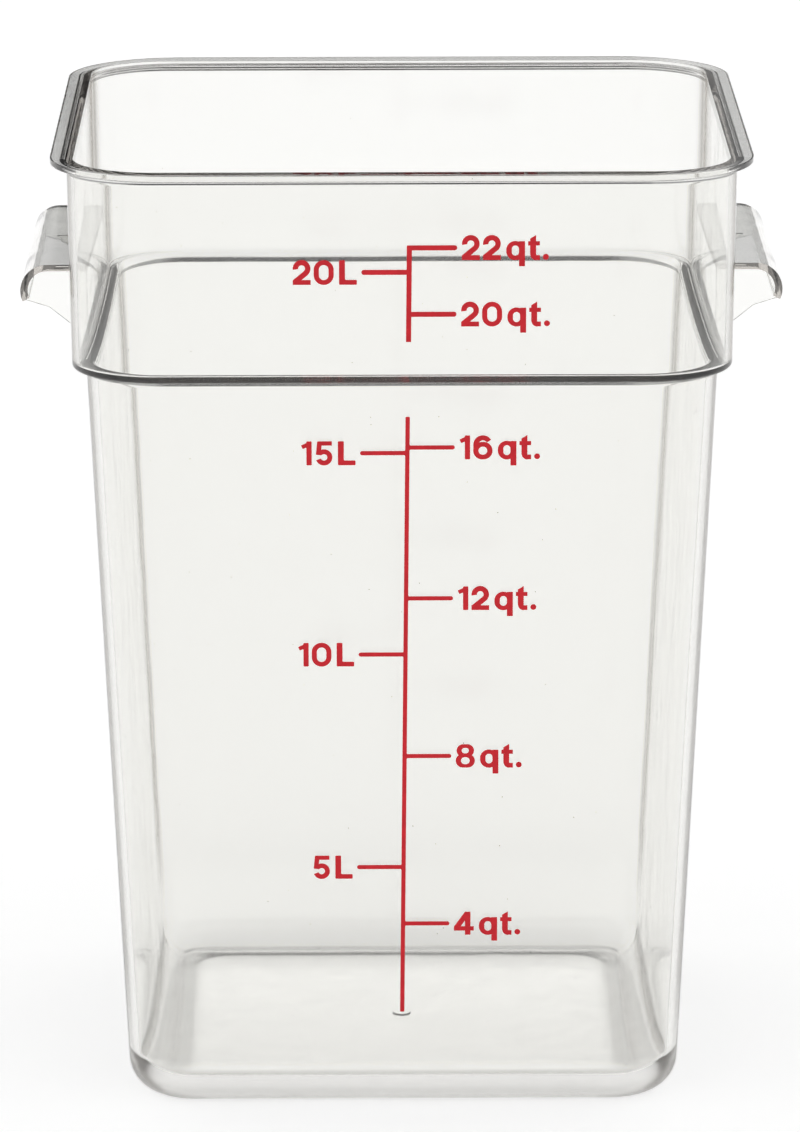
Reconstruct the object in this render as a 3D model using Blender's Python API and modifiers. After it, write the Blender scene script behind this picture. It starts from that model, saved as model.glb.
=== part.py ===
"""Square food storage container: a deep clear tub with a lid rim, two side handles and a printed volume scale.

The tub stands on the XY plane with its centre line on Z. Its handles point along X, and its scale faces -Y.
All sizes are in metres.
"""

import math

import bmesh
import bpy
from mathutils import Matrix, Vector

# Tub, outside
HEIGHT = 0.400
RIM_WIDTH = 0.2858
RIM_CORNER = 0.048
FLANGE_WIDTH = 0.0069
FLANGE_THICKNESS = 0.0028
COLLAR_HEIGHT = 0.0866
COLLAR_DRAFT = 0.0012
COLLAR_CORNER = 0.036
SHELF_WIDTH = 0.0056
SHELF_THICKNESS = 0.0032
BODY_DRAFT = 0.0147
BODY_CORNER_TOP = 0.036
BODY_CORNER_FOOT = 0.028
BASE_ROUND = 0.015

# Tub, walls and inside
WALL = 0.0041
COLLAR_WALL = 0.0028
FLOOR = 0.0034
INNER_BASE_ROUND = 0.0135
RIM_ROUND = 0.0006
FLANGE_ROOT_ROUND = 0.0010
SHELF_ROUND = 0.0018
CORNER_STEPS = 9
ROUND_STEPS = 5

# Raised middle of the base, inside a flat band that the tub stands on
FOOT_BAND = 0.0085
RECESS_CORNER = 0.016
RECESS_DEPTH = 0.0012
RECESS_SLOPE = 0.0025

# Gate mark in the middle of the floor
GATE_WIDTH = 0.0078
GATE_RISE = 0.0008
GATE_SINK = 0.0010
GATE_SIDES = 24

# Handles
HANDLE_LENGTH = 0.1308
HANDLE_RISE = 0.0354
HANDLE_REACH = 0.0219
HANDLE_THICKNESS = 0.0030
CURL_RADIUS = 0.0110
CURL_ANGLE = math.radians(113)
CURL_STEPS = 12
END_WEB_THICKNESS = 0.0026
WEB_KNEE_WIDTH = 0.0100
WEB_KNEE_HEIGHT = 0.0177
WEB_FOOT_HEIGHT = 0.0272
RIB_THICKNESS = 0.0022
RIB_WIDTH = 0.0110
RIB_HEIGHT = 0.0115
SEAT_GAP = 0.0003

# Printed scale on the front wall: edges of the cubes that hold one quart and one litre, and how the marks go up
QUART_CUBE = 0.098179
LITRE_CUBE = 0.100
QUART_STEP = 4
LITRE_STEP = 5
UPPER_BAR_RISE = 0.0173
LOWER_BAR_DROP = 0.0151
LOWER_BAR_FOOT = 0.0425
PRINT_MARGIN = 0.0120
LINE_WIDTH = 0.0018
TICK_LENGTH = 0.0192
BAR_OFFSET = 0.0010
BAR_LEAN_SHARE = 0.0100
INK_THICKNESS = 0.0003
LINE_END_STEPS = 6

# Volume of the inside is summed in slices of this height
SLICE = 0.0005

WELD = 0.00001
COLLECTION = "square_food_storage_container"

# Heights and widths that follow from the sizes above
SHELF_HEIGHT = HEIGHT - COLLAR_HEIGHT
LEDGE_HEIGHT = SHELF_HEIGHT + SHELF_THICKNESS
FLANGE_HEIGHT = HEIGHT - FLANGE_THICKNESS
FLOOR_HEIGHT = RECESS_DEPTH + FLOOR
HANDLE_TOP = SHELF_HEIGHT + HANDLE_RISE
COLLAR_HALF_TOP = RIM_WIDTH / 2 - FLANGE_WIDTH
COLLAR_HALF_FOOT = COLLAR_HALF_TOP - COLLAR_DRAFT
BODY_HALF_TOP = COLLAR_HALF_FOOT - SHELF_WIDTH
BODY_HALF_FOOT = BODY_HALF_TOP - BODY_DRAFT
RECESS_HALF = BODY_HALF_FOOT - BASE_ROUND - FOOT_BAND

# Places of the corner centres, as half widths, which the walls' two faces share
RIM_CENTRE = RIM_WIDTH / 2 - RIM_CORNER
COLLAR_CENTRE_TOP = COLLAR_HALF_TOP - COLLAR_CORNER
COLLAR_CENTRE_FOOT = COLLAR_HALF_FOOT - COLLAR_CORNER
BODY_CENTRE_TOP = BODY_HALF_TOP - BODY_CORNER_TOP
BODY_CENTRE_FOOT = BODY_HALF_FOOT - BODY_CORNER_FOOT
RECESS_CENTRE = RECESS_HALF - RECESS_CORNER


def clear_scene():
    """Remove every object, so that the script can be run again."""
    for old in list(bpy.data.objects):
        bpy.data.objects.remove(old, do_unlink=True)


def new_collection(name):
    """A collection of this name under the scene."""
    found = bpy.data.collections.get(name) or bpy.data.collections.new(name)
    if name not in bpy.context.scene.collection.children:
        bpy.context.scene.collection.children.link(found)
    return found


def material(name, colour, roughness, transmission, ior):
    """A plain Principled material."""
    made = bpy.data.materials.get(name) or bpy.data.materials.new(name)
    made.use_nodes = True
    shader = made.node_tree.nodes["Principled BSDF"]
    shader.inputs["Base Color"].default_value = (*colour, 1)
    shader.inputs["Roughness"].default_value = roughness
    shader.inputs["Metallic"].default_value = 0
    shader.inputs["Transmission Weight"].default_value = transmission
    shader.inputs["IOR"].default_value = ior
    return made


def finish_mesh(name, bm, collection, finish):
    """Turn a bmesh into a smooth-shaded object of the collection."""
    bmesh.ops.recalc_face_normals(bm, faces=bm.faces)
    mesh = bpy.data.meshes.new(name)
    bm.to_mesh(mesh)
    bm.free()
    made = bpy.data.objects.new(name, mesh)
    collection.objects.link(made)
    mesh.materials.append(finish)
    mesh.shade_smooth()
    mesh.set_sharp_from_angle(angle=math.radians(30))
    return made


def as_cutter(piece):
    """Mark a piece as a shape that another one is joined with."""
    piece.hide_render = True
    piece.display_type = "WIRE"
    return piece


def join_with(piece, shapes):
    """Join closed shapes to a piece with exact unions."""
    for shape in shapes:
        union = piece.modifiers.new(f"with {shape.name}", "BOOLEAN")
        union.operation = "UNION"
        union.solver = "EXACT"
        union.object = shape


def between(low, high, share):
    """The value at a share of the way from low to high."""
    return low + (high - low) * share


def collar_half(height):
    """Half width of the collar's drafted outer face at a height."""
    share = (height - SHELF_HEIGHT) / (FLANGE_HEIGHT - SHELF_HEIGHT)
    return between(COLLAR_HALF_FOOT, COLLAR_HALF_TOP, share)


def body_half(height):
    """Half width of the body's drafted outer face at a height."""
    return between(BODY_HALF_FOOT, BODY_HALF_TOP, height / SHELF_HEIGHT)


def wall_stations():
    """Corners of the tub's section: half width, height, corner centre and rounding, from the base out and over."""
    return [
        (RECESS_HALF - RECESS_SLOPE, RECESS_DEPTH, RECESS_CENTRE, 0),
        (RECESS_HALF, 0, RECESS_CENTRE, 0),
        (BODY_HALF_FOOT, 0, BODY_CENTRE_FOOT, BASE_ROUND),
        (BODY_HALF_TOP, SHELF_HEIGHT, BODY_CENTRE_TOP, SHELF_ROUND),
        (COLLAR_HALF_FOOT, SHELF_HEIGHT, COLLAR_CENTRE_FOOT, SHELF_ROUND),
        (COLLAR_HALF_TOP, FLANGE_HEIGHT, COLLAR_CENTRE_TOP, FLANGE_ROOT_ROUND),
        (RIM_WIDTH / 2, FLANGE_HEIGHT, RIM_CENTRE, RIM_ROUND),
        (RIM_WIDTH / 2, HEIGHT, RIM_CENTRE, RIM_ROUND),
        (COLLAR_HALF_TOP - COLLAR_WALL, HEIGHT, COLLAR_CENTRE_TOP, RIM_ROUND),
        (COLLAR_HALF_FOOT - COLLAR_WALL, LEDGE_HEIGHT, COLLAR_CENTRE_FOOT, SHELF_ROUND),
        (BODY_HALF_TOP - WALL, LEDGE_HEIGHT, BODY_CENTRE_TOP, SHELF_ROUND),
        (BODY_HALF_FOOT - WALL, FLOOR_HEIGHT, BODY_CENTRE_FOOT, INNER_BASE_ROUND),
        (BODY_HALF_FOOT - WALL - INNER_BASE_ROUND - RIM_ROUND, FLOOR_HEIGHT, BODY_CENTRE_FOOT, 0),
    ]


def rounded_corner(before, corner, after, radius):
    """Points of the arc that rounds one corner of a section."""
    back = (before - corner).normalized()
    on = (after - corner).normalized()
    half_angle = back.angle(on) / 2
    reach = radius / math.tan(half_angle)
    middle = corner + (back + on).normalized() * (radius / math.sin(half_angle))
    start = corner + back * reach - middle
    turn = back.cross(on)
    sweep = math.copysign(math.pi - 2 * half_angle, -turn)
    points = []
    for step in range(ROUND_STEPS + 1):
        spin = Matrix.Rotation(sweep * step / ROUND_STEPS, 2)
        points.append(middle + spin @ start)
    return points


def wall_section():
    """The tub's section as (half width, height, corner centre), with its corners rounded."""
    stations = wall_stations()
    section = []
    for index, (half, height, centre, radius) in enumerate(stations):
        corner = Vector((half, height))
        if radius == 0:
            section.append((half, height, centre))
            continue
        before = Vector(stations[index - 1][:2])
        after = Vector(stations[index + 1][:2])
        for point in rounded_corner(before, corner, after, radius):
            section.append((point.x, point.y, centre))
    return section


def square_ring(bm, half, height, centre):
    """Vertices of one rounded square, anticlockwise from above."""
    ring = []
    for quarter in range(4):
        turn = Matrix.Rotation(quarter * math.pi / 2, 3, "Z")
        for step in range(CORNER_STEPS):
            angle = step / (CORNER_STEPS - 1) * math.pi / 2
            reach = half - centre
            point = Vector((centre + reach * math.cos(angle), centre + reach * math.sin(angle), height))
            ring.append(bm.verts.new(turn @ point))
    return ring


def make_tub(collection, cutters, finish):
    """The tub: rounded squares lofted along the wall's section, with the gate mark joined to its floor."""
    bm = bmesh.new()
    rings = [square_ring(bm, *station) for station in wall_section()]
    for lower, upper in zip(rings, rings[1:]):
        for index, vertex in enumerate(lower):
            after = (index + 1) % len(lower)
            bm.faces.new((vertex, lower[after], upper[after], upper[index]))
    bm.faces.new(rings[0])
    bm.faces.new(rings[-1])
    tub = finish_mesh("tub", bm, collection, finish)

    mark = bmesh.new()
    bmesh.ops.create_cone(
        mark,
        cap_ends=True,
        segments=GATE_SIDES,
        radius1=GATE_WIDTH / 2,
        radius2=GATE_WIDTH / 2,
        depth=GATE_RISE + GATE_SINK,
        matrix=Matrix.Translation((0, 0, FLOOR_HEIGHT + (GATE_RISE - GATE_SINK) / 2)),
    )
    join_with(tub, [as_cutter(finish_mesh("gate_mark", mark, cutters, finish))])
    return tub


def handle_plate(name, collection, finish):
    """The handle's plate and curl: one bent line drawn along Y and given its thickness below."""
    wall = collar_half(HANDLE_TOP)
    curl_start = wall + HANDLE_REACH - CURL_RADIUS
    line = [Vector((wall + SEAT_GAP, 0, HANDLE_TOP))]
    for step in range(CURL_STEPS + 1):
        angle = CURL_ANGLE * step / CURL_STEPS
        across = curl_start + CURL_RADIUS * math.sin(angle)
        line.append(Vector((across, 0, HANDLE_TOP - CURL_RADIUS * (1 - math.cos(angle)))))
    bm = bmesh.new()
    for point in line:
        bm.verts.new(point - Vector((0, HANDLE_LENGTH / 2, 0)))
    bm.verts.ensure_lookup_table()
    for first, second in zip(bm.verts[:-1], bm.verts[1:]):
        bm.edges.new((first, second))
    drawn = bmesh.ops.extrude_edge_only(bm, edges=bm.edges[:])
    moved = [part for part in drawn["geom"] if isinstance(part, bmesh.types.BMVert)]
    bmesh.ops.translate(bm, verts=moved, vec=(0, HANDLE_LENGTH, 0))
    for face in bm.faces:
        face.normal_update()
        if face.normal.z * CURL_RADIUS + face.normal.x * HANDLE_REACH < 0:
            face.normal_flip()
    mesh = bpy.data.meshes.new(name)
    bm.to_mesh(mesh)
    bm.free()
    plate = bpy.data.objects.new(name, mesh)
    collection.objects.link(plate)
    mesh.materials.append(finish)
    thick = plate.modifiers.new("thickness", "SOLIDIFY")
    thick.thickness = HANDLE_THICKNESS
    thick.offset = -1
    thick.use_even_offset = True
    return plate


def outline_mesh(name, outline, thickness, place, collection, finish):
    """A flat closed outline in the XZ plane, given a thickness along Y about its place."""
    curve = bpy.data.curves.new(name, "CURVE")
    curve.dimensions = "2D"
    curve.fill_mode = "BOTH"
    curve.extrude = thickness / 2
    spline = curve.splines.new("POLY")
    spline.points.add(len(outline[1:]))
    for point, (across, height) in zip(spline.points, outline):
        point.co = (across, height, 0, 1)
    spline.use_cyclic_u = True
    flat = bpy.data.objects.new(name, curve)
    collection.objects.link(flat)
    bpy.context.view_layer.update()
    evaluated = flat.evaluated_get(bpy.context.evaluated_depsgraph_get())
    mesh = bpy.data.meshes.new_from_object(evaluated)
    bpy.data.objects.remove(flat, do_unlink=True)
    bm = bmesh.new()
    bm.from_mesh(mesh)
    bpy.data.meshes.remove(mesh)
    bmesh.ops.remove_doubles(bm, verts=bm.verts, dist=WELD)
    bmesh.ops.transform(bm, verts=bm.verts, matrix=place)
    return finish_mesh(name, bm, collection, finish)


def upright(place_y):
    """Stand a flat outline up in the XZ plane at a place along Y."""
    return Matrix.Translation((0, place_y, 0)) @ Matrix.Rotation(math.pi / 2, 4, "X")


def web_outline():
    """End web under the plate: along the wall, inside the curl and back in two straight runs."""
    inside = HANDLE_THICKNESS / 2
    top = HANDLE_TOP - inside
    wall = collar_half(HANDLE_TOP)
    curl_start = wall + HANDLE_REACH - CURL_RADIUS
    outline = [(collar_half(top) + SEAT_GAP, top)]
    for step in range(CURL_STEPS + 1):
        angle = CURL_ANGLE * step / CURL_STEPS
        reach = CURL_RADIUS - inside
        across = curl_start + reach * math.sin(angle)
        outline.append((across, HANDLE_TOP - CURL_RADIUS + reach * math.cos(angle)))
    outline.append((wall + WEB_KNEE_WIDTH, HANDLE_TOP - WEB_KNEE_HEIGHT))
    foot = HANDLE_TOP - WEB_FOOT_HEIGHT
    outline.append((collar_half(foot) + SEAT_GAP, foot))
    return outline


def rib_outline():
    """Middle rib: a triangle from the wall to the underside of the plate."""
    top = HANDLE_TOP - HANDLE_THICKNESS / 2
    foot = HANDLE_TOP - RIB_HEIGHT
    return [
        (collar_half(top) + SEAT_GAP, top),
        (collar_half(top) + RIB_WIDTH, top),
        (collar_half(foot) + SEAT_GAP, foot),
    ]


def make_handle(name, side, collection, cutters, finish):
    """One handle on the collar's side wall: plate, curl, two end webs and a middle rib."""
    plate = handle_plate(name, collection, finish)
    web_place = (HANDLE_LENGTH - END_WEB_THICKNESS) / 2
    shapes = []
    for end, place_y in (("front", -web_place), ("back", web_place)):
        web = outline_mesh(
            f"{name}_web_{end}", web_outline(), END_WEB_THICKNESS, upright(place_y), cutters, finish
        )
        shapes.append(web)
    rib = outline_mesh(f"{name}_rib", rib_outline(), RIB_THICKNESS, upright(0), cutters, finish)
    shapes.append(rib)
    join_with(plate, shapes)
    bpy.context.view_layer.update()
    evaluated = plate.evaluated_get(bpy.context.evaluated_depsgraph_get())
    bm = bmesh.new()
    bm.from_mesh(bpy.data.meshes.new_from_object(evaluated))
    for used in (plate, *shapes):
        bpy.data.objects.remove(used, do_unlink=True)
    if side < 0:
        bmesh.ops.rotate(bm, verts=bm.verts, cent=(0, 0, 0), matrix=Matrix.Rotation(math.pi, 3, "Z"))
    bmesh.ops.remove_doubles(bm, verts=bm.verts, dist=WELD)
    bmesh.ops.dissolve_limit(bm, angle_limit=math.radians(0.5), verts=bm.verts, edges=bm.edges)
    return finish_mesh(name, bm, collection, finish)


def inner_area(height):
    """Area of the inside at a height: a square with rounded corners."""
    if height < LEDGE_HEIGHT:
        half = body_half(height) - WALL
        centre = between(BODY_CENTRE_FOOT, BODY_CENTRE_TOP, height / SHELF_HEIGHT)
    else:
        share = (height - SHELF_HEIGHT) / COLLAR_HEIGHT
        half = collar_half(height) - COLLAR_WALL
        centre = between(COLLAR_CENTRE_FOOT, COLLAR_CENTRE_TOP, share)
    above_floor = height - FLOOR_HEIGHT
    if above_floor < INNER_BASE_ROUND:
        drop = INNER_BASE_ROUND - above_floor
        half -= INNER_BASE_ROUND - math.sqrt(INNER_BASE_ROUND**2 - drop**2)
    return (2 * half) ** 2 - (4 - math.pi) * (half - centre) ** 2


def height_of_volume(volume):
    """Height on the Z axis to which a volume fills the tub."""
    filled = 0
    height = FLOOR_HEIGHT
    while filled < volume and height < HEIGHT:
        filled += inner_area(height + SLICE / 2) * SLICE
        height += SLICE
    return height - (filled - volume) / inner_area(height)


def bar_across(height):
    """Place along X of the scale's upright line, which leans a little."""
    return BAR_OFFSET + BAR_LEAN_SHARE * (height - HEIGHT / 2)


def round_end(across, height, heading):
    """Points of the half circle that ends a printed line, which heads in a direction."""
    points = []
    for step in range(LINE_END_STEPS + 1):
        angle = heading + math.pi / 2 - math.pi * step / LINE_END_STEPS
        points.append((across + LINE_WIDTH / 2 * math.cos(angle), height + LINE_WIDTH / 2 * math.sin(angle)))
    return points


def scale_outline(top, foot, right_heights, left_heights):
    """Outline of one stretch of the scale, clockwise from the top of its upright line."""
    reach = TICK_LENGTH - LINE_WIDTH / 2
    inset = LINE_WIDTH / 2
    outline = round_end(bar_across(top), top - inset, math.pi / 2)
    for height in sorted(right_heights, reverse=True):
        beside = bar_across(height) + inset
        if height + inset < top - inset:
            outline.append((beside, height + inset))
        else:
            outline = outline[: LINE_END_STEPS // 2 + 1]
        outline += round_end(bar_across(height) + reach, height, 0)
        outline.append((beside, height - inset))
    outline += round_end(bar_across(foot), foot + inset, -math.pi / 2)
    for height in sorted(left_heights):
        beside = bar_across(height) - inset
        outline.append((beside, height - inset))
        outline += round_end(bar_across(height) - reach, height, math.pi)
        outline.append((beside, height + inset))
    return outline


def on_front_wall(half_at, low, high):
    """Matrix that lays a flat outline on the drafted front wall, clear of it by the seat gap."""
    lean = math.atan2(half_at(high) - half_at(low), high - low)
    out = half_at(low) + (SEAT_GAP + INK_THICKNESS / 2) / math.cos(lean)
    stand = Matrix.Rotation(math.pi / 2 + lean, 4, "X")
    stretch = Matrix.Diagonal((1, 1 / math.cos(lean), 1, 1))
    return Matrix.Translation((0, -out, low)) @ stand @ stretch @ Matrix.Translation((0, -low, 0))


def volume_marks(cube, step):
    """Heights of the marks of one unit: one at every step, and a last one half a step higher where that fits."""
    limit = FLANGE_HEIGHT - PRINT_MARGIN
    count = step
    marks = []
    while height_of_volume(count * cube**3) < limit:
        marks.append(height_of_volume(count * cube**3))
        count += step
    last = height_of_volume((count - step / 2) * cube**3)
    if last < limit:
        marks.append(last)
    return marks


def make_scale(name, foot, top, ends_at_mark, half_at, collection, ink):
    """One printed stretch of the scale: its upright line, quart ticks on the right, litre ticks on the left."""
    low, high = foot + LINE_WIDTH, top - LINE_WIDTH
    right = [height for height in volume_marks(QUART_CUBE, QUART_STEP) if low < height < high]
    left = [height for height in volume_marks(LITRE_CUBE, LITRE_STEP) if low < height < high]
    if ends_at_mark and right:
        top = max(right) + LINE_WIDTH / 2
    outline = scale_outline(top, foot, right, left)
    place = on_front_wall(half_at, foot, top)
    return outline_mesh(name, outline, INK_THICKNESS, place, collection, ink)


def main():
    """Model the whole container."""
    clear_scene()
    parts = new_collection(COLLECTION)
    cutters = new_collection("cutters")
    clear = material("clear_polycarbonate", (0.93, 0.93, 0.91), 0.03, 1, 1.585)
    ink = material("red_printing_ink", (0.58, 0.017, 0.026), 0.4, 0, 1.5)
    make_tub(parts, cutters, clear)
    make_handle("handle_right", 1, parts, cutters, clear)
    make_handle("handle_left", -1, parts, cutters, clear)
    upper_foot = SHELF_HEIGHT + UPPER_BAR_RISE
    make_scale("scale_upper", upper_foot, FLANGE_HEIGHT - PRINT_MARGIN, True, collar_half, parts, ink)
    lower_top = SHELF_HEIGHT - LOWER_BAR_DROP
    make_scale("scale_lower", LOWER_BAR_FOOT, lower_top, False, body_half, parts, ink)


main()
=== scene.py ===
import math

import bmesh
import bpy
from bpy.props import FloatProperty, FloatVectorProperty, IntProperty, PointerProperty
from mathutils import Matrix, Vector


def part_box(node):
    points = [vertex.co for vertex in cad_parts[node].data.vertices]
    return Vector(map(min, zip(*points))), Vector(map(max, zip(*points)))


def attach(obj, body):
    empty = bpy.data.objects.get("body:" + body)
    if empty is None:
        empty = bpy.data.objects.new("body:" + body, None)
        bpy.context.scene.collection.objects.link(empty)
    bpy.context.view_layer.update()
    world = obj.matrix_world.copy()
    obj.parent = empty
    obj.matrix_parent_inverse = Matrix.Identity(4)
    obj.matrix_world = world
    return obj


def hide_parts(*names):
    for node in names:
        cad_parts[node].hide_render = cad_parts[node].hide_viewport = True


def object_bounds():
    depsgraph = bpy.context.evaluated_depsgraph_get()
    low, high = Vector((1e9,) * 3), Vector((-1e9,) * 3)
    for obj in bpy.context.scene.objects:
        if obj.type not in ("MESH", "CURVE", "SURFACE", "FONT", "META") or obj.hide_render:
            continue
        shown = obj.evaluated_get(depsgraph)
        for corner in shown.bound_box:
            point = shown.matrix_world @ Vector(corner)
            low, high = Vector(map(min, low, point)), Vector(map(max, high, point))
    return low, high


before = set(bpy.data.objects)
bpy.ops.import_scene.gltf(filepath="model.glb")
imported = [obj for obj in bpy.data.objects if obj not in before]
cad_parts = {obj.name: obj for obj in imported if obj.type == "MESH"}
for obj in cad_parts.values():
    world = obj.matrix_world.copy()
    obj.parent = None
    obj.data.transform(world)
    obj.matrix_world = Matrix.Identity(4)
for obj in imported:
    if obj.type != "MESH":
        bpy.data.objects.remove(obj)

bl_info = {
    "name": "Clear square food container",
    "version": (1, 0, 0),
    "blender": (4, 5, 0),
    "location": "View3D > Sidebar > Container",
    "description": "Makes a clear moulded storage container with its printed volume scale, and a pale studio",
    "category": "Add Mesh",
}

# Millimetre in the scene's metres, for patterns that are told by a real size
MM = 0.001
# Vertices closer than this are one: in metres, and for the strokes of a figure in a figure's units
WELD = 0.000001
STROKE_WELD = 0.0001
# Faces that meet at less than this angle become one face
FLAT = math.radians(1)
# Edges that turn by more than this are rounded, on the handles and round the ink, or stay sharp when a piece is shaded
HANDLE_SHARP = math.radians(40)
INK_SHARP = math.radians(25)
SHADE_SHARP = math.radians(32)
# Steps of the handles' curl, of the small roundings on the moulding and on the ink, and round a ring's corner and a dot
CURL_STEPS = 24
EDGE_STEPS = 3
INK_STEPS = 4
RING_STEPS = 10
DOT_STEPS = 36
# Degrees that one step of a curved stroke turns
ARC_STEP = 9
# Corner radius of a ring stroke as a share of its narrower side, a hair under a half so that no edge vanishes
RING_CORNER_SHARE = 0.4999

CAD_LOW, CAD_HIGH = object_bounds()
TUB_LOW, TUB_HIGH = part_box("tub")
HANDLE_LOW, HANDLE_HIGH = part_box("handle_right")


def linear(hex_colour):
    """Linear colour with alpha from an sRGB hex value."""
    channels = [int(hex_colour[place:place + 2], 16) / 255 for place in (1, 3, 5)]
    return (*[c / 12.92 if c <= 0.04045 else ((c + 0.055) / 1.055) ** 2.4 for c in channels], 1)


def length(name, description, default):
    """A length that a user would change."""
    return FloatProperty(name=name, description=description, default=default, min=0, unit="LENGTH", precision=5)


class TubSizes(bpy.types.PropertyGroup):
    """Sizes of the tub."""

    height: length("Height", "From the table to the top of the rim", TUB_HIGH.z)
    rim_width: length("Rim width", "Across the lid rim", TUB_HIGH.x - TUB_LOW.x)
    rim_corner: length("Rim corner", "Outer corner radius of the lid rim", 0.048)
    flange_width: length("Flange width", "How far the lid rim stands out from the collar", 0.0069)
    flange_thickness: length("Flange thickness", "Thickness of the lid rim", 0.0028)
    collar_height: length("Collar height", "From the shelf's underside to the top of the rim", 0.0866)
    collar_draft: length("Collar draft", "How much a collar wall comes in towards the shelf", 0.0012)
    collar_corner: length("Collar corner", "Outer corner radius of the collar", 0.036)
    shelf_width: length("Shelf width", "How far the collar stands out from the body", 0.0056)
    shelf_thickness: length("Shelf thickness", "Thickness of the step between collar and body", 0.0024)
    body_draft: length("Body draft", "How much a body wall comes in towards the base", 0.0147)
    body_corner_top: length("Body corner, top", "Outer corner radius of the body under the shelf", 0.036)
    body_corner_foot: length("Body corner, foot", "Outer corner radius of the body at the base", 0.028)
    base_round: length("Base round", "Radius between the body's walls and its base", 0.015)
    wall: length("Wall", "Thickness of the body's walls", 0.0041)
    collar_thickness: length("Collar wall", "Thickness of the collar's walls", 0.0028)
    floor: length("Floor", "Thickness of the floor", 0.0040)
    inner_base_round: length("Inner base round", "Radius between the inner walls and the floor", 0.0155)
    rim_round: length("Rim round", "Rounding of the lid rim's upper edges", 0.0003)
    rim_foot_round: length("Rim foot round", "Rounding of the lid rim's lower edge", 0.0009)
    flange_root_round: length("Flange root round", "Rounding between the lid rim's underside and the collar", 0.0030)
    shelf_round: length("Shelf round", "Rounding of the collar's lower edge", 0.0020)
    shelf_root_round: length("Shelf root round", "Rounding between the shelf's underside and the body", 0.0034)
    ledge_root_round: length("Ledge root round", "Rounding between the inner ledge and the collar", 0.0012)
    ledge_round: length("Ledge round", "Rounding from the inner ledge down into the body", 0.0034)
    foot_band: length("Foot band", "Flat band of the base that stands on the table", 0.0085)
    recess_corner: length("Recess corner", "Corner radius of the raised middle of the base", 0.016)
    recess_depth: length("Recess depth", "How far the middle of the base is raised", 0.0012)
    recess_slope: length("Recess slope", "Width of the step round the raised middle", 0.0025)
    gate_width: length("Gate mark", "Width of the mark that the moulding gate leaves on the floor", 0.0078)
    gate_rise: length("Gate rise", "Height of that mark", 0.0008)
    corner_steps: IntProperty(name="Corner steps", description="Steps round each corner", default=24, min=4, max=64)
    round_steps: IntProperty(name="Round steps", description="Steps across each rounded edge", default=8, min=2, max=24)


class HandleSizes(bpy.types.PropertyGroup):
    """Sizes of the two handles."""

    length: length("Length", "Along the side wall", HANDLE_HIGH.y - HANDLE_LOW.y)
    top: length("Top", "Height of the plate's top face", HANDLE_HIGH.z)
    reach: length("Reach", "Where the curl's outermost face is, from the middle of the tub", HANDLE_HIGH.x)
    thickness: length("Thickness", "Thickness of the plate and its curl", 0.0030)
    curl_radius: length("Curl radius", "Outer radius of the curled edge", 0.0110)
    curl_angle: FloatProperty(
        name="Curl angle", description="How far the edge curls down", default=math.radians(113), subtype="ANGLE"
    )
    web_thickness: length("End web", "Thickness of the web that closes each end", 0.0026)
    web_knee_width: length("Knee width", "Where the web's lower edge bends, from the wall", 0.0100)
    web_knee_height: length("Knee height", "Where the web's lower edge bends, below the plate", 0.0177)
    web_foot_height: length("Web foot", "Where the web ends on the wall, below the plate", 0.0272)
    rib_thickness: length("Rib thickness", "Thickness of the rib under the middle of the plate", 0.0022)
    rib_width: length("Rib width", "How far the rib runs out under the plate", 0.0110)
    rib_height: length("Rib height", "How far the rib runs down the wall", 0.0115)
    root: length("Root", "How deep plate, webs and rib run into the wall that they are moulded with", 0.0015)
    edge_round: length("Edge round", "Rounding of the handle's edges", 0.0005)


class PrintSizes(bpy.types.PropertyGroup):
    """Sizes of the printed scale."""

    upper_line: length("Line width, collar", "Width of the upright line and the marks on the collar", 0.0021)
    lower_line: length("Line width, body", "Width of the upright line and the marks on the body", 0.0018)
    mark_length: length("Mark length", "Length of a mark, from the middle of the upright line", 0.0192)
    bar_offset: length("Line offset", "Where the upright line is, from the middle of the wall at half height", 0.0010)
    bar_lean: FloatProperty(
        name="Line lean", description="How far the upright line leans, as a share of its height", default=0.0100
    )
    figure_height: length("Figure height", "Height of the numerals", 0.0101)
    label_gap: length("Label gap", "Between a mark and its label", 0.0018)
    letter_gap: length("Letter gap", "Between two characters", 0.0012)
    unit_gap: length("Unit gap", "Between a number and its unit", 0.0021)
    corner_round: length("Corner round", "Rounding that spreading ink gives to corners", 0.0004)
    thickness: length("Ink thickness", "Thickness of the ink that stands on the wall", 0.00005)
    bond: length("Ink bond", "Depth by which the ink is bonded into the wall's surface", 0.00002)


class Finish(bpy.types.PropertyGroup):
    """Colours of the finishes."""

    plastic: FloatVectorProperty(
        name="Clear plastic", description="Tint of the light that the plastic lets through", subtype="COLOR",
        min=0, max=1, default=linear("#F8F8F6")[:3],
    )
    ink: FloatVectorProperty(
        name="Ink", description="Colour of the printed scale", subtype="COLOR", min=0, max=1,
        default=linear("#C41E29")[:3],
    )


# Heights of the printed marks in metres: on the right in quarts, on the left in litres
QUART_MARKS = ((22, 0.3694), (20, 0.3421), (16, 0.2855), (12, 0.2217), (8, 0.1541), (4, 0.0813))
LITRE_MARKS = ((20, 0.3594), (15, 0.2832), (10, 0.1978), (5, 0.1060))
# Lower and upper end of the two stretches of the upright line, on the collar and on the body
COLLAR_LINE = (0.3307, 0.3704)
BODY_LINE = (0.0425, 0.2984)

# Polycarbonate bends light by this much
CLEAR_IOR = 1.585
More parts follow.
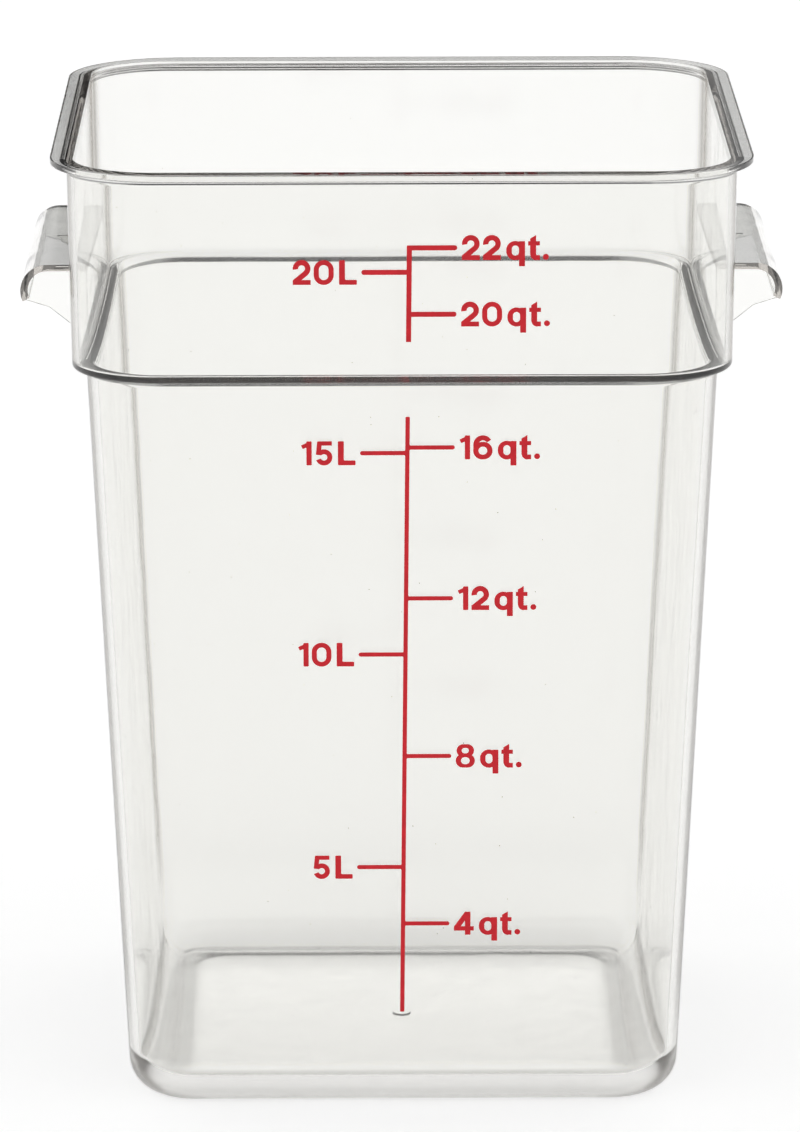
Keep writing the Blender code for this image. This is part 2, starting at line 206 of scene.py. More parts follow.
# The room, from the horizon up: pale like the table, a dark gap, then soft panels and a dark ceiling.
# Each step has the sine of its elevation, 0 level and 1 straight up, and its brightness
ROOM_BEHIND = (
    (0.045, 1.0), (0.065, 0.09), (0.11, 0.03), (0.245, 0.03), (0.275, 0.92), (0.41, 0.78), (0.44, 1.4),
    (0.50, 1.4), (0.57, 1.1), (0.60, 0.03), (1.0, 0.03),
)
ROOM_IN_FRONT = ((0.0, 1.5), (0.28, 1.5), (0.46, 1.4), (0.52, 0.05), (1.0, 0.03))
# Brightness of the two pale panels beside the dark gap
SIDE_PANELS = 0.3
# Brightness of the lit table, and the painted pool of light added inside the foot, at the front and at the back
TABLE_GLOW = 0.57
PAINTED_POOL_FRONT, PAINTED_POOL_BACK = 0.26, 0.56
# The table's radius and how far it lies under the base, in metres
TABLE_RADIUS = 60
TABLE_DROP = 0.0004

# Camera at the photograph's viewing angle: lens and film width in millimetres, aim and distance in metres
LENS, FILM_WIDTH = 214.15, 36
AIM, DISTANCE = (-0.0004, 0, 0.2044), 2.8721
PITCH, YAW, ROLL = math.radians(13.907), math.radians(0.377), math.radians(-0.103)
# The far end of what the camera sees, past the table's edge
SIGHT = 200
# How many faces in a row the light may pass or mirror in
CLEAR_BOUNCES, MIRROR_BOUNCES = 48, 32

# A numeral is this many units high
FIGURE_UNITS = 10
# Strokes of a bold plain lettering, in those units: each character has its width and its strokes.
# line: start x, y, end x, y, pen width, how far its left end corner is cut back
# arc: centre x, y, radius, start and sweep in degrees, pen width
# ring: centre x, y, outer width and height, inner width and height
# dot: centre x, y, diameter
FIGURES = {
    "0": (8.0, (("ring", 4.0, 5.0, 8.0, 10.1, 3.8, 6.1),)),
    "1": (4.4, (("line", 3.3, 0, 3.3, 10, 2.15, 0), ("line", 0.4, 7.5, 3.4, 8.9, 1.7, 0))),
    "2": (7.2, (("arc", 3.6, 6.6, 2.45, 188, -238, 2.2), ("line", 5.17, 4.72, 0.95, 1.2, 2.2, 0),
                ("line", 0.05, 1.0, 7.2, 1.0, 2.0, 0))),
    "4": (8.2, (("line", 5.7, 0, 5.7, 10, 2.3, 0), ("line", 0.05, 2.75, 8.2, 2.75, 1.9, 0),
                ("line", 0.95, 2.9, 5.35, 9.2, 2.2, 0))),
    "5": (7.2, (("arc", 3.7, 3.3, 2.35, 145, -305, 2.05), ("line", 1.4, 4.3, 1.95, 9.8, 1.95, 0),
                ("line", 1.2, 9.1, 6.9, 9.1, 1.8, 0))),
    "6": (7.8, (("ring", 3.9, 3.6, 7.8, 7.3, 3.5, 3.3), ("arc", 3.9, 6.15, 2.8, 180, -150, 2.1),
                ("line", 1.1, 3.6, 1.1, 6.15, 2.1, 0))),
    "8": (7.8, (("ring", 3.9, 2.95, 7.8, 5.9, 3.5, 2.95), ("ring", 3.9, 7.25, 7.1, 5.5, 2.9, 2.3))),
    "L": (7.1, (("line", 1.2, 0, 1.2, 10, 2.4, 0), ("line", 0.05, 1.0, 7.1, 1.0, 2.0, 0))),
    "q": (7.5, (("ring", 3.65, 3.8, 7.3, 7.8, 2.8, 4.1), ("line", 6.3, -2.6, 6.3, 7.6, 2.4, 0))),
    "t": (4.7, (("line", 2.0, 2.0, 2.0, 10.1, 2.4, 1.5), ("arc", 3.25, 2.2, 1.25, 180, 90, 2.2),
                ("line", 3.1, 0.95, 4.7, 0.95, 2.0, 0), ("line", 0, 6.7, 4.7, 6.7, 1.75, 0))),
    ".": (2.4, (("dot", 1.2, 1.2, 2.4),)),
}


def sizes():
    """The four groups of sizes and colours, as the scene holds them."""
    scene = bpy.context.scene
    return scene.container_tub, scene.container_handles, scene.container_print, scene.container_finish


def new_object(name, bm):
    """An object at the origin with the shape of a bmesh, its faces pointing out."""
    bmesh.ops.remove_doubles(bm, verts=bm.verts, dist=WELD)
    bmesh.ops.recalc_face_normals(bm, faces=bm.faces)
    mesh = bpy.data.meshes.new(name)
    bm.to_mesh(mesh)
    bm.free()
    made = bpy.data.objects.new(name, mesh)
    bpy.context.scene.collection.objects.link(made)
    return made


def clear_away(piece):
    """Remove a shape that has been used up, with its mesh."""
    mesh = piece.data
    bpy.data.objects.remove(piece, do_unlink=True)
    bpy.data.meshes.remove(mesh)


def shaped(piece):
    """The mesh of a piece as its modifiers leave it, in a new bmesh."""
    bpy.context.view_layer.update()
    evaluated = piece.evaluated_get(bpy.context.evaluated_depsgraph_get())
    mesh = bpy.data.meshes.new_from_object(evaluated)
    bm = bmesh.new()
    bm.from_mesh(mesh)
    bpy.data.meshes.remove(mesh)
    return bm


def ring_edges(ring):
    """Edges that run round a ring of vertices."""
    inside = set(ring)
    return [
        edge for vertex in ring for edge in vertex.link_edges
        if edge.other_vert(vertex) in inside and edge.verts[0] is vertex
    ]


def vertices_of(geometry):
    """The vertices among what an operator gives back."""
    return [part for part in geometry if isinstance(part, bmesh.types.BMVert)]


def draw_out(bm, offset):
    """Give a flat bmesh a thickness: its faces are drawn out, and the first ones close the back."""
    drawn = bmesh.ops.extrude_face_region(bm, geom=bm.faces[:], use_keep_orig=True)["geom"]
    bmesh.ops.translate(bm, verts=vertices_of(drawn), vec=offset)


def rounded_rectangle(bm, half_width, half_height, level, corner, steps):
    """The outline of a rounded rectangle: a square is stretched, its corners bevelled and its face taken out."""
    square = bmesh.ops.create_grid(
        bm, x_segments=1, y_segments=1, size=1, matrix=Matrix.Translation((0, 0, level))
    )["verts"]
    bmesh.ops.scale(bm, vec=(half_width, half_height, 1), verts=square)
    rounded = bmesh.ops.bevel(
        bm, geom=square, offset=corner, offset_type="OFFSET", segments=steps, profile=0.5,
        affect="VERTICES", material=-1, clamp_overlap=False,
    )
    face = max((f for v in rounded["verts"] for f in v.link_faces), key=lambda f: len(f.verts))
    ring = list(face.verts)
    bmesh.ops.delete(bm, geom=[face], context="FACES_ONLY")
    return ring


def tub_stations(tub):
    """The tub's section: half width, height, corner radius and edge rounding, from the base out, up and in."""
    collar_top = tub.rim_width / 2 - tub.flange_width
    collar_foot = collar_top - tub.collar_draft
    body_top = collar_foot - tub.shelf_width
    body_foot = body_top - tub.body_draft
    recess = body_foot - tub.base_round - tub.foot_band
    shelf = tub.height - tub.collar_height
    flange = tub.height - tub.flange_thickness
    floor = tub.recess_depth + tub.floor
    ledge = shelf + tub.shelf_thickness
    wall, collar = tub.wall, tub.collar_thickness
    return [
        (recess - tub.recess_slope, tub.recess_depth, tub.recess_corner - tub.recess_slope, 0),
        (recess, 0, tub.recess_corner, 0),
        (body_foot, 0, tub.body_corner_foot, tub.base_round),
        (body_top, shelf, tub.body_corner_top, tub.shelf_root_round),
        (collar_foot, shelf, tub.collar_corner, tub.shelf_round),
        (collar_top, flange, tub.collar_corner, tub.flange_root_round),
        (tub.rim_width / 2, flange, tub.rim_corner, tub.rim_foot_round),
        (tub.rim_width / 2, tub.height, tub.rim_corner, tub.rim_round),
        (collar_top - collar, tub.height, tub.collar_corner - collar, tub.rim_round),
        (collar_foot - collar, ledge, tub.collar_corner - collar, tub.ledge_root_round),
        (body_top - wall, ledge, tub.body_corner_top - wall, tub.ledge_round),
        (body_foot - wall, floor, tub.body_corner_foot - wall, tub.inner_base_round),
    ]


def bevel_reach(stations, index):
    """How far a rounding reaches along the section to each side of a corner."""
    before, corner, after = (Vector(stations[index + step][:2]) for step in (-1, 0, 1))
    turn = (corner - before).angle(after - corner)
    return stations[index][3] * math.tan(turn / 2)


def tub_mesh(tub):
    """The tub: rounded squares bridged along the section, edges rounded, and the gate mark raised from its floor."""
    bm = bmesh.new()
    stations = tub_stations(tub)
    # Rings are bridged a metre apart, so that two rings of one plane are matched the right way round
    rings = [
        rounded_rectangle(bm, half, half, level, corner, tub.corner_steps)
        for level, (half, _, corner, _) in enumerate(stations)
    ]
    middle = bmesh.ops.create_circle(
        bm, cap_ends=False, radius=tub.gate_width / 2, segments=len(rings[0]),
        matrix=Matrix.Translation((0, 0, len(stations))),
    )["verts"]
    rings.append(middle)
    for lower, upper in zip(rings, rings[1:]):
        bmesh.ops.bridge_loops(bm, edges=ring_edges(lower) + ring_edges(upper))
    floor = stations[-1][1]
    heights = [height for _, height, _, _ in stations] + [floor]
    for ring, height in zip(rings, heights):
        for vertex in ring:
            vertex.co.z = height
    bmesh.ops.contextual_create(bm, geom=ring_edges(rings[0]))
    cap = bmesh.ops.contextual_create(bm, geom=ring_edges(middle))["faces"]
    raised = bmesh.ops.extrude_face_region(bm, geom=cap)["geom"]
    bmesh.ops.delete(bm, geom=cap, context="FACES_ONLY")
    top = vertices_of(raised)
    bmesh.ops.translate(bm, verts=top, vec=(0, 0, tub.gate_rise))
    bmesh.ops.bevel(
        bm, geom=ring_edges(top), offset=tub.gate_rise / 2, segments=EDGE_STEPS, profile=0.5, affect="EDGES",
        material=-1,
    )
    ends = stations + [(0, floor, 0, 0)]
    for index, (_, _, _, rounding) in enumerate(stations):
        if rounding == 0:
            continue
        bmesh.ops.bevel(
            bm, geom=ring_edges(rings[index]), offset=bevel_reach(ends, index), offset_type="OFFSET",
            segments=tub.round_steps, profile=0.5, affect="EDGES", material=-1, clamp_overlap=False,
        )
    return bm


def handle_plate_mesh(handle, wall):
    """Plate with its curled edge: an edge drawn out from the wall and spun round the curl's axis."""
    bm = bmesh.new()
    root = wall - handle.root
    curl_start = handle.reach - handle.curl_radius
    ends = [bm.verts.new((root, side * handle.length / 2, handle.top)) for side in (-1, 1)]
    line = bm.edges.new(ends)
    drawn = bmesh.ops.extrude_edge_only(bm, edges=[line])["geom"]
    outer = vertices_of(drawn)
    bmesh.ops.translate(bm, verts=outer, vec=(curl_start - root, 0, 0))
    outer_edges = [
        part for part in drawn
        if isinstance(part, bmesh.types.BMEdge) and all(vertex in outer for vertex in part.verts)
    ]
    bmesh.ops.spin(
        bm, geom=outer + outer_edges, cent=(curl_start, 0, handle.top - handle.curl_radius), axis=(0, 1, 0),
        angle=handle.curl_angle, steps=CURL_STEPS, use_merge=False,
    )
    return bm


def web_mesh(handle, wall_at):
    """End web: a face along the wall and inside the curl, with its curl corner rounded, drawn out to its thickness."""
    bm = bmesh.new()
    inside = handle.thickness / 2
    radius = handle.curl_radius - inside
    centre = Vector((handle.reach - handle.curl_radius, 0, handle.top - handle.curl_radius))
    top = handle.top - inside
    foot = handle.top - handle.web_foot_height
    half_turn = handle.curl_angle / 2
    outline = [
        Vector((wall_at(top) - handle.root, 0, top)),
        centre + Vector((radius * math.tan(half_turn), 0, radius)),
        centre + radius * Vector((math.sin(handle.curl_angle), 0, math.cos(handle.curl_angle))),
        Vector((wall_at(handle.top) + handle.web_knee_width, 0, handle.top - handle.web_knee_height)),
        Vector((wall_at(foot) - handle.root, 0, foot)),
    ]
    corners = [bm.verts.new(point) for point in outline]
    bm.faces.new(corners)
    bmesh.ops.bevel(
        bm, geom=[corners[1]], offset=radius * math.tan(half_turn), offset_type="OFFSET", segments=CURL_STEPS,
        profile=0.5, affect="VERTICES", material=-1, clamp_overlap=False,
    )
    return drawn_along_y(bm, handle.web_thickness)


def rib_mesh(handle, wall_at):
    """Middle rib: a triangle from the wall to the underside of the plate, drawn out to its thickness."""
    bm = bmesh.new()
    top = handle.top - handle.thickness / 2
    foot = handle.top - handle.rib_height
    outline = [
        (wall_at(top) - handle.root, 0, top),
        (wall_at(top) + handle.rib_width, 0, top),
        (wall_at(foot) - handle.root, 0, foot),
    ]
    bm.faces.new([bm.verts.new(point) for point in outline])
    return drawn_along_y(bm, handle.rib_thickness)


def drawn_along_y(bm, thickness):
    """Give a flat bmesh a thickness along Y, half to each side."""
    bmesh.ops.translate(bm, verts=bm.verts, vec=(0, -thickness / 2, 0))
    draw_out(bm, (0, thickness, 0))
    return bm


def union(name, base, others):
    """Join closed shapes into one object with exact unions, and remove what went into it."""
    for other in others:
        joined = base.modifiers.new(f"with {other.name}", "BOOLEAN")
        joined.operation = "UNION"
        joined.solver = "EXACT"
        joined.object = other
    bm = shaped(base)
    for used in (base, *others):
        clear_away(used)
    return new_object(name, bm)


def handle_object(handle, wall_at, side):
    """One handle, right way round for its side of the tub: plate and curl, two end webs and the middle rib."""
    plate = new_object("plate", handle_plate_mesh(handle, wall_at(handle.top)))
    thick = plate.modifiers.new("thickness", "SOLIDIFY")
    thick.thickness = handle.thickness
    thick.offset = -1
    thick.use_even_offset = True
    others = []
    for place in (-1, 1):
        bm = web_mesh(handle, wall_at)
        across = place * (handle.length - handle.web_thickness) / 2
        bmesh.ops.translate(bm, verts=bm.verts, vec=(0, across, 0))
        others.append(new_object("end web", bm))
    others.append(new_object("rib", rib_mesh(handle, wall_at)))
    made = union("handle", plate, others)
    bm = shaped(made)
    clear_away(made)
    bmesh.ops.dissolve_limit(bm, angle_limit=FLAT, verts=bm.verts, edges=bm.edges)
    sharp = [edge for edge in bm.edges if edge.is_manifold and edge.calc_face_angle() > HANDLE_SHARP]
    bmesh.ops.bevel(
        bm, geom=sharp, offset=handle.edge_round, segments=EDGE_STEPS, profile=0.5, affect="EDGES", material=-1,
        clamp_overlap=True,
    )
    if side < 0:
        bmesh.ops.rotate(bm, verts=bm.verts, cent=(0, 0, 0), matrix=Matrix.Rotation(math.pi, 3, "Z"))
    return new_object(f"handle {side}", bm)


def line_stroke(bm, x, y, end_x, end_y, pen, cut):
    """A straight stroke with square ends: a square stretched and turned, with one end corner cut back."""
    start, end = Vector((x, y, 0)), Vector((end_x, end_y, 0))
    span = end - start
    turned = Matrix.Rotation(math.atan2(span.y, span.x), 4, "Z")
    placed = Matrix.Translation((start + end) / 2) @ turned @ Matrix.Diagonal((span.length, pen, 1, 1))
    corners = bmesh.ops.create_grid(bm, x_segments=1, y_segments=1, size=0.5)["verts"]
    left = max(corners, key=lambda vertex: vertex.co.x + vertex.co.y)
    bmesh.ops.transform(bm, matrix=placed, verts=corners)
    left.co -= span.normalized() * cut


def arc_stroke(bm, x, y, radius, start, sweep, pen):
    """A curved stroke: a short edge as wide as the pen, spun round the centre."""
    centre = Vector((x, y, 0))
    outward = Vector((math.cos(math.radians(start)), math.sin(math.radians(start)), 0))
    ends = [bm.verts.new(centre + outward * (radius + side * pen / 2)) for side in (-1, 1)]
    nib = bm.edges.new(ends)
    steps = math.ceil(abs(sweep) / ARC_STEP)
    bmesh.ops.spin(
        bm, geom=[*ends, nib], cent=centre, axis=(0, 0, 1), angle=math.radians(sweep), steps=steps, use_merge=False
    )


def ring_stroke(bm, x, y, width, height, inner_width, inner_height):
    """A closed stroke: two rounded rectangles a unit apart are bridged, then laid flat."""
    rings = []
    for level, (wide, high) in enumerate(((width, height), (inner_width, inner_height))):
        ring = rounded_rectangle(bm, wide / 2, high / 2, level, RING_CORNER_SHARE * min(wide, high), RING_STEPS)
        bmesh.ops.translate(bm, verts=ring, vec=(x, y, 0))
        rings.append(ring)
    bmesh.ops.bridge_loops(bm, edges=ring_edges(rings[0]) + ring_edges(rings[1]))
    for vertex in rings[1]:
        vertex.co.z = 0


def dot_stroke(bm, x, y, diameter):
    """A round dot."""
    bmesh.ops.create_circle(
        bm, cap_ends=True, radius=diameter / 2, segments=DOT_STEPS, matrix=Matrix.Translation((x, y, 0))
    )


STROKE_MAKERS = {"line": line_stroke, "arc": arc_stroke, "ring": ring_stroke, "dot": dot_stroke}


def inked(name, strokes, scale, corner_round):
    """One stretch of ink: its strokes are made a unit thick, joined, and the corners of the outline rounded."""
    plates = []
    for kind, *numbers in strokes:
        bm = bmesh.new()
        STROKE_MAKERS[kind](bm, *numbers)
        bmesh.ops.remove_doubles(bm, verts=bm.verts, dist=STROKE_WELD)
        draw_out(bm, (0, 0, 1))
        plates.append(new_object("stroke", bm))
    made = union("joined strokes", plates[0], plates[1:])
    bm = shaped(made)
    clear_away(made)
    bmesh.ops.dissolve_limit(bm, angle_limit=FLAT, verts=bm.verts, edges=bm.edges)
    corners = [
        edge for edge in bm.edges
        if edge.is_manifold and abs(edge.verts[0].co.z - edge.verts[1].co.z) > 0.5
        and edge.calc_face_angle() > INK_SHARP
    ]
    bmesh.ops.bevel(
        bm, geom=corners, offset=corner_round / scale, segments=INK_STEPS, profile=0.5, affect="EDGES",
        material=-1, clamp_overlap=True,
    )
    bmesh.ops.scale(bm, vec=(scale, scale, 1), verts=bm.verts)
    mesh = bpy.data.meshes.new(name)
    bm.to_mesh(mesh)
    bm.free()
    return mesh


def label_layout(text, printed):
    """Where each character of a label starts, from the label's left end, and the label's whole width."""
    places, across = [], 0
    for character, following in zip(text, text[1:] + " "):
        places.append((character, across))
        across += FIGURES[character][0] * printed.figure_height / FIGURE_UNITS
        if following == " ":
            continue
        across += printed.unit_gap if character.isdigit() and not following.isdigit() else printed.letter_gap
    return places, across


def line_place(printed, height):
    """Where the middle of the upright line is across the front wall at a height."""
    return printed.bar_offset + printed.bar_lean * (height - CAD_HIGH.z / 2)


def scale_object(name, foot, top, pen, wall_at):
    """One stretch of the printed scale, seated on the front wall: upright line, marks and labels."""
    _, _, printed, _ = sizes()
    strokes = [("line", line_place(printed, foot), foot, line_place(printed, top), top, pen, 0)]
    labels = []
    for side, unit, marks in ((1, "qt.", QUART_MARKS), (-1, "L", LITRE_MARKS)):
        for number, height in marks:
            if not foot < height < top:
                continue
            end = line_place(printed, height) + side * (printed.mark_length - pen / 2)
            strokes.append(("line", line_place(printed, height), height, end, height, pen, 0))
            strokes.append(("dot", end, height, pen))
            labels.append((f"{number}{unit}", side, end + side * (pen / 2 + printed.label_gap), height))
    in_mm = [(kind, *[value / MM for value in numbers]) for kind, *numbers in strokes]
    bm = bmesh.new()
    bm.from_mesh(inked("lines", in_mm, MM, printed.corner_round))
    for text, side, start, height in labels:
        places, width = label_layout(text, printed)
        left = start if side > 0 else start - width
        for character, across in places:
            known = len(bm.verts)
            bm.from_mesh(figure_mesh(character, printed))
            bm.verts.ensure_lookup_table()
            bmesh.ops.translate(
                bm, verts=bm.verts[known:], vec=(left + across, height - printed.figure_height / 2, 0)
            )
    for vertex in bm.verts:
        across, height, outer = vertex.co
        out = printed.thickness if outer > 0.5 else -printed.bond
        vertex.co = (across, -wall_at(height) - out, height)
    return new_object(name, bm)


def figure_mesh(character, printed):
    """The mesh of one character, made once."""
    name = f"figure {character}"
    if name not in bpy.data.meshes:
        inked(name, FIGURES[character][1], printed.figure_height / FIGURE_UNITS, printed.corner_round)
    return bpy.data.meshes[name]


def add_node(tree, kind, links=(), **settings):
    """Add a node: settings name its properties, or its inputs by number or name, and links join inputs to outputs."""
    node = tree.nodes.new(kind)
    for key, value in settings.pop("inputs", {}).items():
        node.inputs[key].default_value = value
    for key, value in settings.items():
        setattr(node, key, value)
    for key, output in dict(links).items():
        tree.links.new(output, node.inputs[key])
    return node


def empty_tree(owner):
    """The node tree of a new material or world, with nothing in it."""
    owner.use_nodes = True
    owner.node_tree.nodes.clear()
    return owner.node_tree


def clear_polycarbonate(tint):
    """Injection-moulded polycarbonate: clear and glossy from a polished mould, with the moulding's faint waviness.

    Long ways through the plastic turn it warm, and painted shade turns its upright walls grey where they are seen
    edge-on.
    """
    made = bpy.data.materials.new("clear_moulded_polycarbonate")
    tree = empty_tree(made)
    where = add_node(tree, "ShaderNodeTexCoord").outputs
    # Painted shade: where the upright walls above the base are seen edge-on, a soft grey is mixed into the plastic's
    # colour; the corners' real extra thickness is left to the absorption below
    facing = add_node(tree, "ShaderNodeSeparateXYZ", {0: where["Normal"]}).outputs
    turned = add_node(tree, "ShaderNodeMath", {0: facing["X"], 1: facing["Y"]}, operation="MULTIPLY").outputs[0]
    either = add_node(tree, "ShaderNodeMath", {0: turned}, operation="ABSOLUTE").outputs[0]
    upright = add_node(
        tree, "ShaderNodeMapRange", {"Value": either}, interpolation_type="SMOOTHSTEP",
        inputs={"From Min": 0.03, "From Max": 0.22},
    ).outputs["Result"]
    place = add_node(tree, "ShaderNodeSeparateXYZ", {0: where["Object"]}).outputs
    wall = add_node(
        tree, "ShaderNodeMapRange", {"Value": place["Z"]}, interpolation_type="SMOOTHSTEP",
        inputs={"From Min": 14 * MM, "From Max": 60 * MM},
    ).outputs["Result"]
    edge_on = add_node(tree, "ShaderNodeLayerWeight", inputs={"Blend": 0.5}).outputs["Facing"]
    edge_shade_falloff = add_node(
        tree, "ShaderNodeMapRange", {"Value": edge_on}, interpolation_type="SMOOTHSTEP",
        inputs={"From Min": 0.50, "From Max": 0.85},
    ).outputs["Result"]
    edge_shade_area = add_node(tree, "ShaderNodeMath", {0: upright, 1: wall}, operation="MULTIPLY").outputs[0]
    share = add_node(tree, "ShaderNodeMath", {0: edge_shade_falloff, 1: edge_shade_area}, operation="MULTIPLY").outputs[0]
    # The painted shade's grey, mixed into the plastic's tint by that share
    walls = add_node(
        tree, "ShaderNodeMix", {"Factor": share}, data_type="RGBA",
        inputs={6: (*tint, 1), 7: linear("#6E675E")},
    ).outputs[2]
    # Specks of dust that were moulded in, well under a millimetre across
    speck = add_node(
        tree, "ShaderNodeTexVoronoi", {"Vector": where["Object"]}, inputs={"Scale": 1 / (13 * MM)}
    ).outputs["Distance"]
    clean = add_node(
        tree, "ShaderNodeMapRange", {"Value": speck}, inputs={"From Min": 0.018, "From Max": 0.030, "To Min": 0.35}
    ).outputs["Result"]
    colour = add_node(
        tree, "ShaderNodeVectorMath", {0: walls, "Scale": clean}, operation="SCALE"
    ).outputs[0]
    # The mould's faint waviness, about 25 mm from crest to crest, and handling haze in the gloss
    waves = add_node(
        tree, "ShaderNodeTexNoise", {"Vector": where["Object"]}, inputs={"Scale": 1 / (25 * MM), "Detail": 1}
    ).outputs["Fac"]
    wavy = add_node(
        tree, "ShaderNodeBump", {"Height": waves}, inputs={"Strength": 1, "Distance": 0.06 * MM}
    ).outputs["Normal"]
    haze = add_node(
        tree, "ShaderNodeTexNoise", {"Vector": where["Object"]}, inputs={"Scale": 1 / (9 * MM), "Detail": 4}
    ).outputs["Fac"]
    gloss = add_node(
        tree, "ShaderNodeMapRange", {"Value": haze},
        inputs={"From Min": 0.4, "From Max": 0.7, "To Min": 0.012, "To Max": 0.03},
    ).outputs["Result"]
    # The back wall has been wiped more than the printed one, so it mirrors less sharply
    wiped = add_node(
        tree, "ShaderNodeMapRange", {"Value": place["Y"]}, interpolation_type="SMOOTHSTEP",
        inputs={"From Min": 85 * MM, "From Max": 115 * MM, "To Max": 0.06},
    ).outputs["Result"]
    # The foot is scuffed by shelves, inside and out, and its lines go soft
    scuffed = add_node(
        tree, "ShaderNodeMapRange", {"Value": place["Z"]}, interpolation_type="SMOOTHSTEP",
        inputs={"From Min": 22 * MM, "From Max": 4 * MM, "To Max": 0.12},
    ).outputs["Result"]
    worn = add_node(tree, "ShaderNodeMath", {0: wiped, 1: scuffed}, operation="MAXIMUM").outputs[0]
    rough = add_node(tree, "ShaderNodeMath", {0: gloss, 1: worn}, operation="ADD").outputs[0]
    shader = add_node(
        tree, "ShaderNodeBsdfPrincipled", {"Base Color": colour, "Roughness": rough, "Normal": wavy},
        inputs={"IOR": CLEAR_IOR, "Transmission Weight": 1},
    )
    # A few centimetres of it take the blue end of the light away
    absorbed = add_node(
        tree, "ShaderNodeVolumeAbsorption", inputs={"Color": linear("#D4CFCA"), "Density": 12.0}
    )
    add_node(
        tree, "ShaderNodeOutputMaterial",
        {"Surface": shader.outputs["BSDF"], "Volume": absorbed.outputs["Volume"]},
    )
    return made


def red_ink(colour):
    """Screen-printed red ink: opaque, half matt, a little uneven where the screen's mesh laid it down."""
    made = bpy.data.materials.new("screen_printed_red_ink")
    tree = empty_tree(made)
    where = add_node(tree, "ShaderNodeTexCoord").outputs["Object"]
    # Ink lies thicker and thinner in patches of a few millimetres
    patches = add_node(
        tree, "ShaderNodeTexNoise", {"Vector": where}, inputs={"Scale": 1 / (3.5 * MM), "Detail": 3}
    ).outputs["Fac"]
    laid = add_node(
        tree, "ShaderNodeMapRange", {"Value": patches}, inputs={"From Min": 0.35, "From Max": 0.7, "To Min": 0.86}
    ).outputs["Result"]
    body = add_node(
        tree, "ShaderNodeVectorMath", {"Scale": laid}, operation="SCALE", inputs={0: colour}
    ).outputs[0]
    # The mesh's own weave, drawn four times as coarse as a real screen so that it can be seen at all
    weave = add_node(
        tree, "ShaderNodeTexWave", {"Vector": where}, bands_direction="DIAGONAL",
        inputs={"Scale": 1 / (6 * MM), "Distortion": 1.5, "Detail": 2},
    ).outputs["Fac"]
    grain = add_node(
        tree, "ShaderNodeBump", {"Height": weave}, inputs={"Strength": 0.3, "Distance": 0.02 * MM}
    ).outputs["Normal"]
    shader = add_node(
        tree, "ShaderNodeBsdfPrincipled", {"Base Color": body, "Normal": grain},
        inputs={"Roughness": 0.42, "Specular IOR Level": 0.2},
    )
    add_node(tree, "ShaderNodeOutputMaterial", {"Surface": shader.outputs["BSDF"]})
    return made


def smooth(piece, angle):
    """Shade a piece smooth up to an angle, and let its large flat faces keep their own direction."""
    piece.data.shade_smooth()
    piece.data.set_sharp_from_angle(angle=angle)
    weighted = piece.modifiers.new("flat faces stay flat", "WEIGHTED_NORMAL")
    weighted.mode = "FACE_AREA"
    weighted.weight = 100
    weighted.keep_sharp = True


def collar_wall(height):
    """How far the collar's outer wall is from the middle at a height."""
    tub, _, _, _ = sizes()
    foot, top = tub.height - tub.collar_height, tub.height - tub.flange_thickness
    outer = tub.rim_width / 2 - tub.flange_width
    return outer - tub.collar_draft * (top - height) / (top - foot)


def body_wall(height):
    """How far the body's outer wall is from the middle at a height."""
    tub, _, _, _ = sizes()
    top = tub.height - tub.collar_height
    outer = tub.rim_width / 2 - tub.flange_width - tub.collar_draft - tub.shelf_width
    return outer - tub.body_draft * (top - height) / top


class CONTAINER_OT_moulding(bpy.types.Operator):
    """Make the clear moulding: the tub with both of its handles"""

    bl_idname = "container.moulding"
    bl_label = "Clear moulding"

    def execute(self, context):
        """Loft the tub, join the handles to it and give it its finish."""
        tub, handle, _, finish = sizes()
        base = new_object("tub", tub_mesh(tub))
        handles = [handle_object(handle, collar_wall, side) for side in (1, -1)]
        piece = union("clear_moulding", base, handles)
        piece.data.materials.append(clear_polycarbonate(finish.plastic))
        smooth(piece, SHADE_SHARP)
        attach(piece, "root")
        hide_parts("tub", "handle_left", "handle_right")
        return {"FINISHED"}


class CONTAINER_OT_scale(bpy.types.Operator):
    """Make the printed volume scale: upright line, marks and numerals on the front wall"""

    bl_idname = "container.scale"
    bl_label = "Printed scale"

    def execute(self, context):
        """Print the collar's stretch and the body's stretch, each on its own wall."""
        _, _, printed, finish = sizes()
        ink = red_ink(finish.ink)
        for name, line, pen, wall_at, node in (
            ("printed_scale_collar", COLLAR_LINE, printed.upper_line, collar_wall, "scale_upper"),
            ("printed_scale_body", BODY_LINE, printed.lower_line, body_wall, "scale_lower"),
        ):
            piece = scale_object(name, *line, pen, wall_at)
            piece.data.materials.append(ink)
            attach(piece, "root")
            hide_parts(node)
        return {"FINISHED"}


